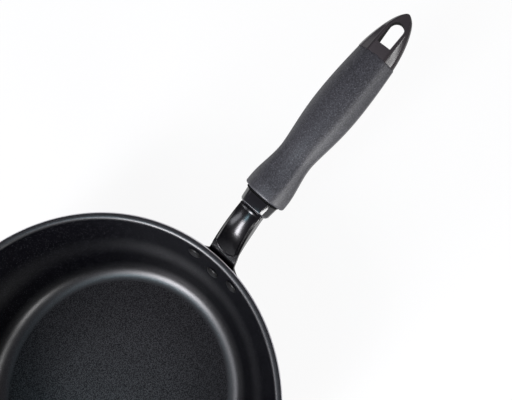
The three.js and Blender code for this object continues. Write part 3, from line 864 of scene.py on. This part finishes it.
def tip_size(share):
    """Section of the bare rear end, height of its widest line and half width of its level top."""
    start = grown(REAR, -TIP_INSET)
    half = start[0] * math.sqrt(1 - share**TIP_ROUNDING)
    top = lerp(start[1], TIP_TOP, share)
    bottom = lerp(start[2], TIP_BOTTOM, 1 - (1 - share) ** TIP_LIFT)
    return (half, top, bottom), lerp(*TIP_SIDE, share**3), min(TIP_FLAT, TIP_FLAT_SHARE * half)


def core_body():
    """The core before its holes are cut."""
    rim = CORE_FRONT
    rows = [(-CORE_RIM, grown(rim, -CORE_RIM_INSET)), (-CORE_RIM + CORE_RIM_EDGE, rim), (-GAP, rim)]
    hidden = (*CORE_STEPS, GRIP_LENGTH - EDGE_STEP)
    rows += [(x, grown(grip_size(x), -GRIP_WALL)) for x in hidden]
    for angle in quarter(TIP_ROWS):
        share = TIP_STOP * math.sin(angle)
        x = lerp(GRIP_LENGTH - GRIP_END, GRIP_LENGTH + TIP_LENGTH, share)
        rows.append((x, *tip_size(share)))

    def place(row, share):
        x, size, *shape = row
        if shape:
            return on_handle(x, *shouldered(size, *shape, share))
        if x < 0:
            return on_handle(x, *oval(size, GRIP_FULLNESS, share))
        return grip_point(x, size, 0, share)

    return skin(rows, CORE_COLUMNS, place)


def hanging_slot():
    """Prism for the hanging hole: flat towards the pan, round towards the tip."""
    half = HOLE_WIDTH / 2
    outline = [(HOLE_END - HOLE_LENGTH, half), (HOLE_END - HOLE_LENGTH, -half)]
    outline += arc((HOLE_END - half, 0), half, -math.pi / 2, math.pi / 2, 32)
    bm = bmesh.new()
    face = bm.faces.new([bm.verts.new(on_handle(x, y, HOLE_LOW)) for x, y in outline])
    raised = bmesh.ops.extrude_face_region(bm, geom=[face])["geom"]
    lift = on_handle(0, 0, HOLE_HEIGHT) - on_handle(0, 0, 0)
    verts = [v for v in raised if isinstance(v, bmesh.types.BMVert)]
    bmesh.ops.translate(bm, vec=lift, verts=verts)
    bmesh.ops.recalc_face_normals(bm, faces=bm.faces)
    return bm


def handle_core():
    shank = screw_hole(SCREW_RADIUS + GAP, SCREW_SEAT - 1, 0)
    bm = carved(core_body(), hanging_slot(), tang_socket(), shank, screw_well())
    up = HANDLE_FRAME.to_3x3() @ Vector((0, 0, 1))
    for face in bm.faces:
        here = OFF_HANDLE @ face.calc_center_median() / MM
        upright = abs(here.y) < HOLE_WIDTH / 2 + TOUCH and abs(face.normal.dot(up)) < UPRIGHT
        hole = GRIP_LENGTH < here.x < HOLE_END + TOUCH
        # The core's front rim and the hanging hole's upright walls take the dark plastic: painted
        # shade.
        face.material_index = int(here.x < 0 or (upright and hole))
    finishes = [CORE_PLASTIC, CORE_PAINTED_SHADE]
    finished("handle_core_visual", bm, finishes, ["handle_core"], sharp=24)


def guard_outline(width, height):
    """Points round the guard: sloping facets, a narrow top and a wider underside."""
    half, high = width / 2, height / 2
    right = [
        (0.7 * half, -high),
        (half + 0.1, -0.4 * high),
        (half, 0.1 * high),
        (0.745 * half, 0.76 * high),
        (0.55 * half, high),
    ]
    return right + [(-y, z) for y, z in reversed(right)]


def flame_guard():
    nose = guard_outline(GUARD_FRONT - CHAMFER_WIDTH, GUARD_HEIGHT - CHAMFER_HEIGHT)
    rows = [
        (-GUARD_LENGTH, nose),
        (CHAMFER_LENGTH - GUARD_LENGTH, guard_outline(GUARD_FRONT, GUARD_HEIGHT)),
        (-CORE_RIM - GAP, guard_outline(GUARD_REAR, GUARD_HEIGHT)),
    ]
    columns = len(nose)

    def place(row, share):
        x, points = row
        return on_handle(x, *points[round(share * columns) % columns])

    bm = skin(rows, columns, place)
    edges = [e for e in bm.edges if len(e.link_faces) == 2]
    edges = [e for e in edges if e.calc_face_angle() > math.radians(6)]
    # The rounded edges take the painted-highlight plastic; below, all but those near the front go
    # back to plain plastic.
    for face in rounded(bm, edges, GUARD_EDGE, 3):
        face.material_index = 1
    bm = carved(bm, tang_socket())
    for face in bm.faces:
        if (OFF_HANDLE @ face.calc_center_median()).x / MM > EDGE_HIGHLIGHT_LENGTH - GUARD_LENGTH:
            face.material_index = 0
    finishes = [GUARD_PLASTIC, PAINTED_EDGE_HIGHLIGHT]
    finished("flame_guard_visual", bm, finishes, ["flame_guard"], sharp=50)


pan_body()
base_plate()
for rivet_name in RIVETS:
    rivet(rivet_name)
handle_bracket()
flame_guard()
handle_core()
soft_grip()
for node in ("tang_nut", "handle_screw", "spring_washer"):
    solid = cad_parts[node].data
    solid.materials.clear()
    solid.materials.append(ZINC)


# Studio, in metres.
FLOOR_REACH, FLOOR_MIDDLE = 0.8, (0.09, 0, -0.0001)
FLOOR_GLOW, FLOOR_FADE = 0.9, (0.4, 0.68)
SKY_LEVEL, SKY_TINT = 0.25, paint(0.91, 0.87, 1.0)
LAMP_AIM = Vector((0.08, 0, 0.05))

# Azimuth and elevation in degrees, distance, width and height, power in watts, and tint.
SOFTBOXES = {
    "key_softbox": (180, 20, 1.3, 0.3, 0.9, 37, (0.96, 0.945, 1.0)),
    "tall_dim_softbox": (142, 22, 1.3, 0.36, 0.8, 6.5, (0.92, 0.93, 1.0)),
    "window_card": (182, 49, 1.3, 0.17, 0.2, 2.4, (0.5, 0.85, 1.0)),
    "side_softbox": (252, 14, 1.3, 0.45, 0.46, 15, (1.0, 1.0, 1.0)),
    "rear_side_softbox": (288, 25, 1.3, 0.27, 0.36, 4, (1.0, 1.0, 1.0)),
    "overhead_card": (76, 78, 1.3, 0.35, 0.35, 0.34, (0.98, 0.88, 1.0)),
    "back_fill": (80, 20, 1.5, 1.2, 0.5, 1.6, (1.0, 1.0, 1.0)),
}

CAMERA_PLACE = (0.121394, -0.061245, 0.444279)
CAMERA_RIGHT = Vector((0.67132, -0.74054, -0.03047))
CAMERA_UP = Vector((0.72311, 0.64539, 0.24615))
SENSOR_WIDTH, FOCAL_LENGTH = 36, 36


def floor():
    bm = bmesh.new()
    bmesh.ops.create_circle(bm, cap_ends=True, segments=96, radius=FLOOR_REACH)
    bmesh.ops.translate(bm, vec=FLOOR_MIDDLE, verts=bm.verts)
    mesh = as_mesh("studio_floor", bm)
    plane = shown("studio_floor", mesh)
    f = Finish("white_floor", Base_Color=grey(0.85), Roughness=0.9)
    rays = ("Is Camera Ray", "Is Glossy Ray", "Is Transmission Ray")
    direct, mirrored, through = (f.node("ShaderNodeLightPath", {}, {}, ray) for ray in rays)
    across, _ = f.radius()
    fade = FLOOR_GLOW + (1.0 - FLOOR_GLOW) * across.between(*FLOOR_FADE)
    share = (direct + mirrored + through).between(0.0, 1.0) * fade
    glow = f.node("ShaderNodeEmission", {}, {"Color": WHITE, "Strength": 1.0})
    matt = Value(f, f.surface.outputs[0])
    blend = f.node("ShaderNodeMixShader", {}, {0: share, 1: matt, 2: glow})
    f.feed(f.tree.nodes["Material Output"].inputs["Surface"], blend)
    mesh.materials.append(f.material)


def sky():
    """White where the camera looks, and a dim tinted light on the pan."""
    world = bpy.data.worlds.new("studio")
    bpy.context.scene.world = world
    world.use_nodes = True
    nodes = Nodes(world.node_tree)
    sockets = nodes.tree.nodes["Background"].inputs
    direct = nodes.node("ShaderNodeLightPath", {}, {}, "Is Camera Ray")
    nodes.feed(sockets["Strength"], SKY_LEVEL + (1.0 - SKY_LEVEL) * direct)
    nodes.feed(sockets["Color"], nodes.mix(direct, SKY_TINT, WHITE))


def softbox(name):
    azimuth, elevation, distance, width, height, power, tint = SOFTBOXES[name]
    lamp = bpy.data.lights.new(name, "AREA")
    lamp.shape = "RECTANGLE"
    lamp.size, lamp.size_y = width, height
    lamp.energy = power
    lamp.color = tint
    box = shown(name, lamp)
    a, e = math.radians(azimuth), math.radians(elevation)
    away = Vector((math.cos(a) * math.cos(e), math.sin(a) * math.cos(e), math.sin(e)))
    box.location = LAMP_AIM + away * distance
    box.rotation_euler = away.to_track_quat("Z", "Y").to_euler()


def camera():
    lens = bpy.data.cameras.new("camera")
    lens.sensor_fit = "HORIZONTAL"
    lens.sensor_width = SENSOR_WIDTH
    lens.lens = FOCAL_LENGTH
    lens.clip_start = 0.01
    eye = shown("camera", lens)
    back = CAMERA_RIGHT.cross(CAMERA_UP)
    turn = Matrix((CAMERA_RIGHT, CAMERA_UP, back)).transposed().to_4x4()
    eye.matrix_world = Matrix.Translation(CAMERA_PLACE) @ turn
    bpy.context.scene.camera = eye


floor()
sky()
for softbox_name in SOFTBOXES:
    softbox(softbox_name)
camera()
bpy.context.scene.view_settings.view_transform = "Standard"
